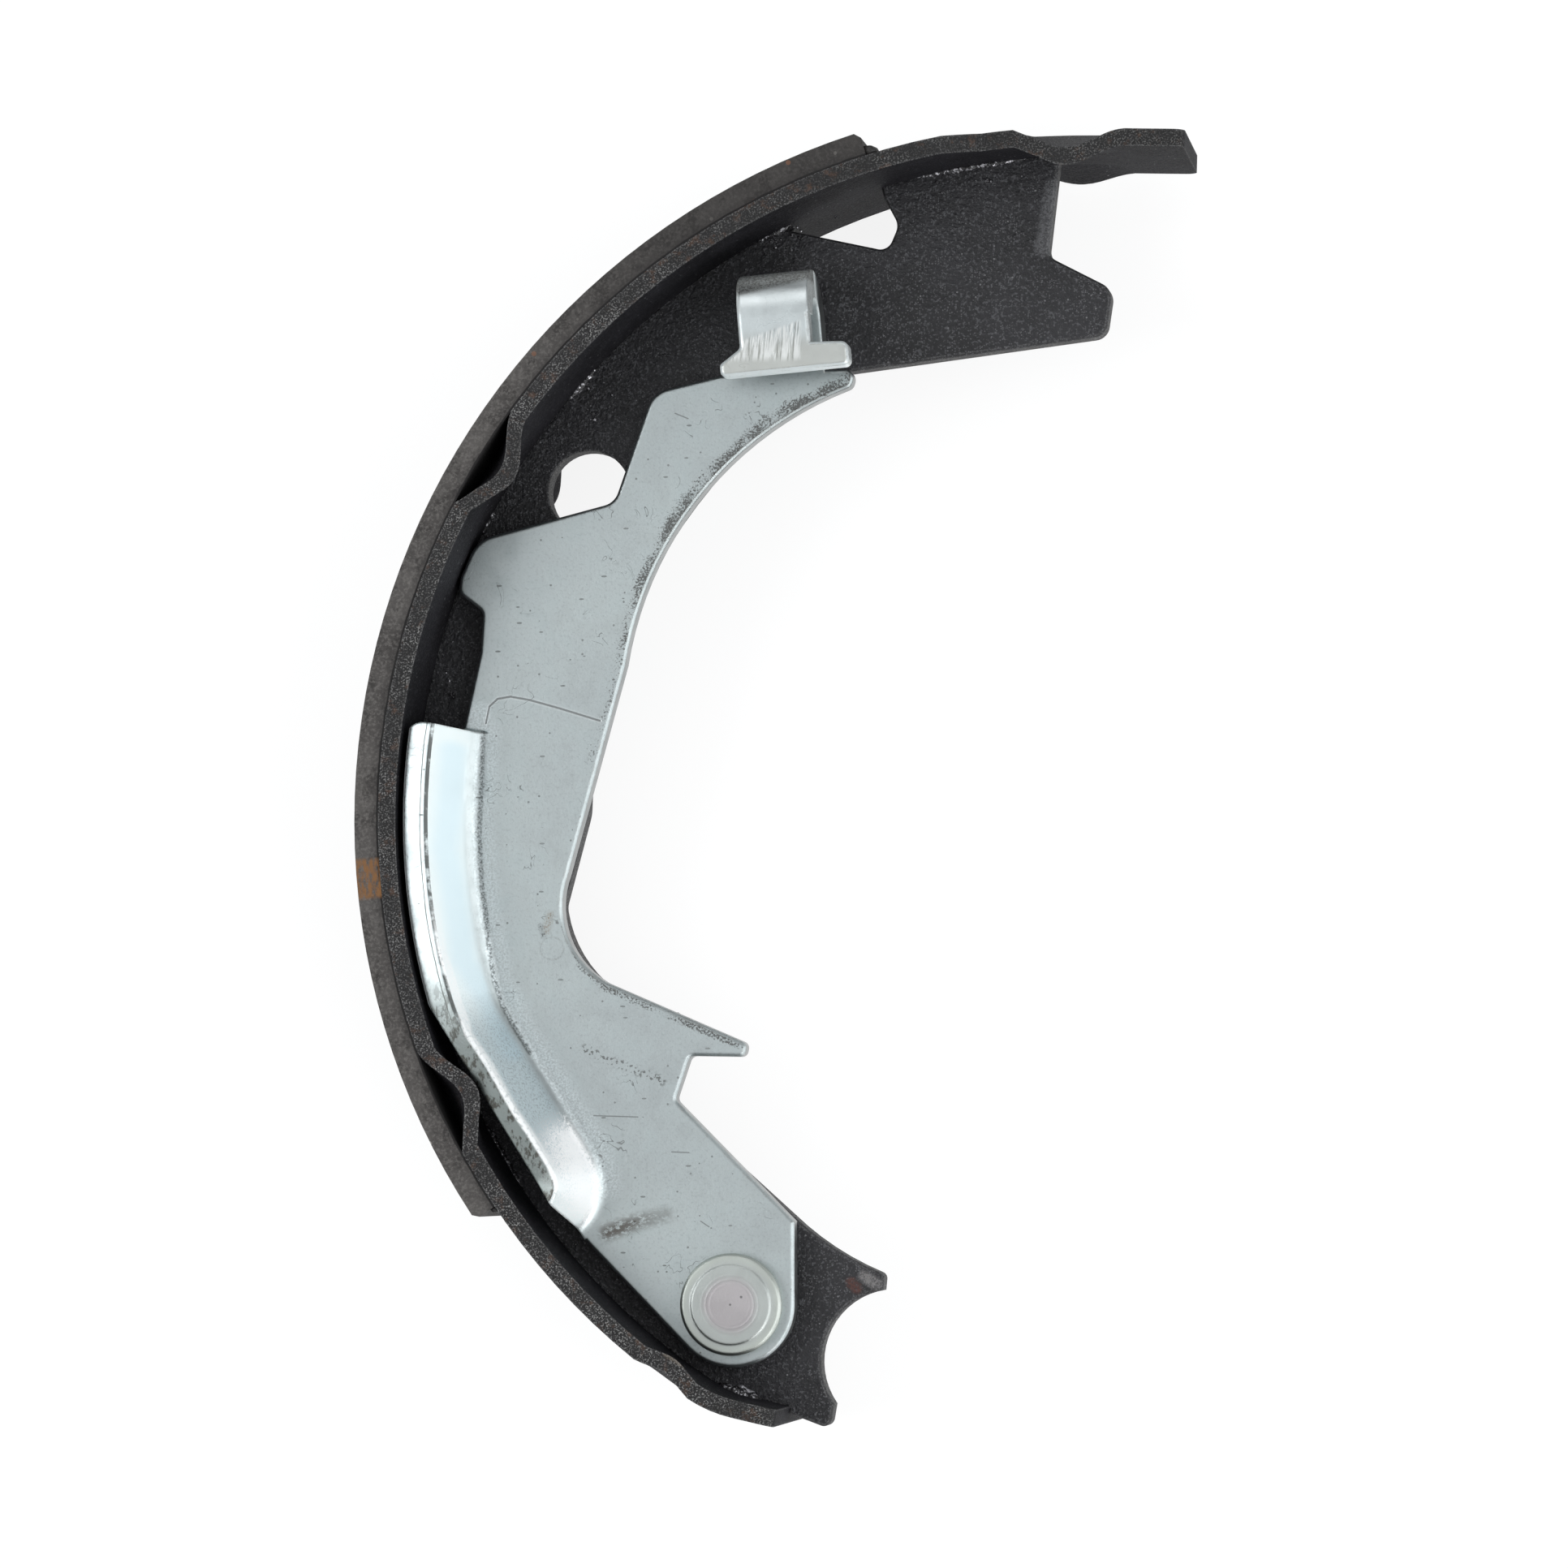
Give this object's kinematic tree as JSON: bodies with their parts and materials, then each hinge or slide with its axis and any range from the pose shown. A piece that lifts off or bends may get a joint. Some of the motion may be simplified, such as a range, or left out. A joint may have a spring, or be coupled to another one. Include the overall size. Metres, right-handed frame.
{
  "type": "brake shoe",
  "caption": "Curved drum brake shoe with a bonded friction lining, welded web and pivoting parking lever with a cable hook.",
  "frame": {"origin": "on the drum's axis, in the middle of the shoe's width", "axes": "+Z along the drum's axis towards the lever's side, +Y towards the shoe's upper end in the picture, +X from the lining's middle towards the drum's axis"},
  "size_m": [0.1184, 0.1847, 0.038],
  "materials": {
    "lining": "ground friction material, matt, with pale flecks",
    "shoe_paint": "semi-gloss black paint with a fine orange-peel",
    "zinc": "bright zinc plating",
    "pin_steel": "plated steel, turned",
    "spring_steel": "plated spring steel"
  },
  "bodies": {
    "shoe": {"lining": "lining", "table": "shoe_paint", "web": "shoe_paint"},
    "lever": {"parking_lever": "zinc", "pivot_pin": "pin_steel", "spring_washer": "spring_steel", "retaining_clip": "spring_steel"}
  },
  "joints": [
    {"name": "lever_pivot", "type": "hinge", "parent": "shoe", "child": "lever", "pos_m": [-0.0488, -0.06917, 0], "axis": [0, 0, -1], "range_deg": [0, 28]}
  ]
}
